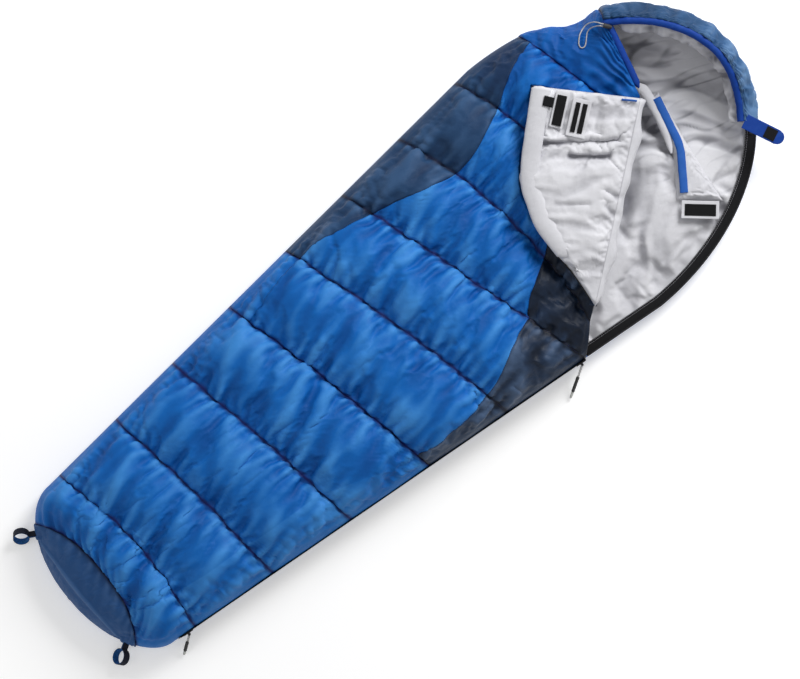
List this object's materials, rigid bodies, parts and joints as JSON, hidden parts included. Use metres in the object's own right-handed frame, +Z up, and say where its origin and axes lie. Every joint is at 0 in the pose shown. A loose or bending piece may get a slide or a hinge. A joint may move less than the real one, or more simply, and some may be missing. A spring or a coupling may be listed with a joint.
{
  "type": "mummy sleeping bag",
  "caption": "Quilted mummy sleeping bag with a drawcord hood, a two-way side zip, a neck collar and a chest flap that folds open.",
  "frame": {"origin": "middle of the bag's bounding box, on the floor it lies on", "axes": "+Y from the foot to the hood, +X to the zip side, +Z up"},
  "size_m": [0.8164, 2.2112, 0.1846],
  "materials": {
    "shell_blue": "woven nylon with a slight sheen",
    "shell_slate": "woven nylon with a slight sheen",
    "lining_grey": "soft matt polyester",
    "lining_white": "soft matt polyester",
    "batting": "loose polyester fibre",
    "zip_tape": "woven polyester tape",
    "zip_coil": "satin",
    "slider_metal": "satin black",
    "hook_tape": "hook and loop pile",
    "webbing": "woven polyester webbing",
    "cord": "braided",
    "pull_grip": "ribbed, matt",
    "pull_tip": "milky",
    "lock_plastic": "satin"
  },
  "bodies": {
    "bag": {"base_shell": "shell_blue", "base_fill": "batting", "base_lining": "lining_grey", "foot_panel_shell": "shell_slate", "foot_panel_fill": "batting", "foot_panel_lining": "lining_grey", "leg_shell": "shell_blue", "chest_shell": "shell_blue", "left_side_shell": "shell_slate", "right_side_shell": "shell_slate", "top_fill": "batting", "top_lining": "lining_grey", "fold_seam": "lining_grey", "hood_cheek_shell": "shell_blue", "hood_crown_shell": "shell_slate", "hood_fill": "batting", "hood_lining": "lining_grey", "hood_hem": "shell_blue", "hood_drawcord": "cord", "drawcord_tail": "cord", "cord_lock_body": "lock_plastic", "zip_base_tape": "zip_tape", "zip_top_tape": "zip_tape", "zip_base_coil": "zip_coil", "zip_top_coil": "zip_coil", "zip_bottom_stop": "zip_coil", "zip_band": "zip_tape", "zip_band_coil": "zip_coil", "zip_top_stop": "zip_coil", "draft_tube": "lining_grey", "neck_collar": "lining_grey", "collar_piping": "shell_blue", "foot_loop_left": "webbing", "foot_loop_right": "webbing"},
    "flap": {"flap_shell": "shell_blue", "flap_fill": "batting", "flap_lining": "lining_white", "flap_draft_tube": "lining_white", "flap_zip_tape": "zip_tape", "flap_zip_coil": "zip_coil", "flap_piping": "shell_blue", "flap_loop_patch": "hook_tape", "pocket_bag": "lining_white", "pocket_strips": "hook_tape"},
    "cover_tab": {"zip_cover_tab": "lining_white", "zip_cover_patch": "hook_tape"},
    "main_slider": {"main_slider": "slider_metal"},
    "main_pull": {"main_pull_cord": "cord", "main_pull_grip": "pull_grip", "main_pull_tip": "pull_tip"},
    "foot_slider": {"foot_slider": "slider_metal"},
    "foot_pull": {"foot_pull_cord": "cord", "foot_pull_grip": "pull_grip", "foot_pull_tip": "pull_tip"},
    "closure_tab": {"closure_tab": "shell_blue", "closure_tab_patch": "hook_tape"},
    "collar_tab": {"collar_tab": "lining_white", "collar_tab_patch": "hook_tape"},
    "lock_plunger": {"cord_lock_plunger": "lock_plastic"}
  },
  "joints": [
    {"name": "flap_fold", "type": "hinge", "parent": "bag", "child": "flap", "pos_m": [0.33633, 0.31765, 0.14], "axis": [-0.6164, 0.7874, 0], "range_deg": [0, 183]},
    {"name": "zip_cover_turn", "type": "hinge", "parent": "flap", "child": "cover_tab", "pos_m": [-0.20776, 0.69494, 0.1726], "axis": [-0.7874, -0.6164, 0], "range_deg": [0, 165]},
    {"name": "main_slider_run", "type": "slide", "parent": "bag", "child": "main_slider", "axis": [0.0896, 0.996, 0], "range_m": [-0.75, 0]},
    {"name": "main_pull_swing", "type": "hinge", "parent": "main_slider", "child": "main_pull", "pos_m": [0.35535, 0.30296, 0.0485], "axis": [0, 0, 1], "range_deg": [-25, 100]},
    {"name": "foot_slider_run", "type": "slide", "parent": "bag", "child": "foot_slider", "axis": [0.0896, 0.996, 0], "range_m": [0, 0.4]},
    {"name": "foot_pull_swing", "type": "hinge", "parent": "foot_slider", "child": "foot_pull", "pos_m": [0.24644, -0.90716, 0.0485], "axis": [0, 0, 1], "range_deg": [-25, 100]},
    {"name": "closure_tab_turn", "type": "hinge", "parent": "bag", "child": "closure_tab", "pos_m": [0.13885, 1.00927, 0.1034], "axis": [0.4067, -0.9135, 0], "range_deg": [0, 150]},
    {"name": "collar_tab_turn", "type": "hinge", "parent": "bag", "child": "collar_tab", "pos_m": [0.22475, 0.80165, 0.053], "axis": [-0.6562, -0.7546, 0], "range_deg": [0, 150]},
    {"name": "lock_plunger_press", "type": "slide", "parent": "bag", "child": "lock_plunger", "axis": [-0.7986, -0.6018, 0], "range_m": [0, 0.003], "stiffness_N_per_m": 300}
  ]
}
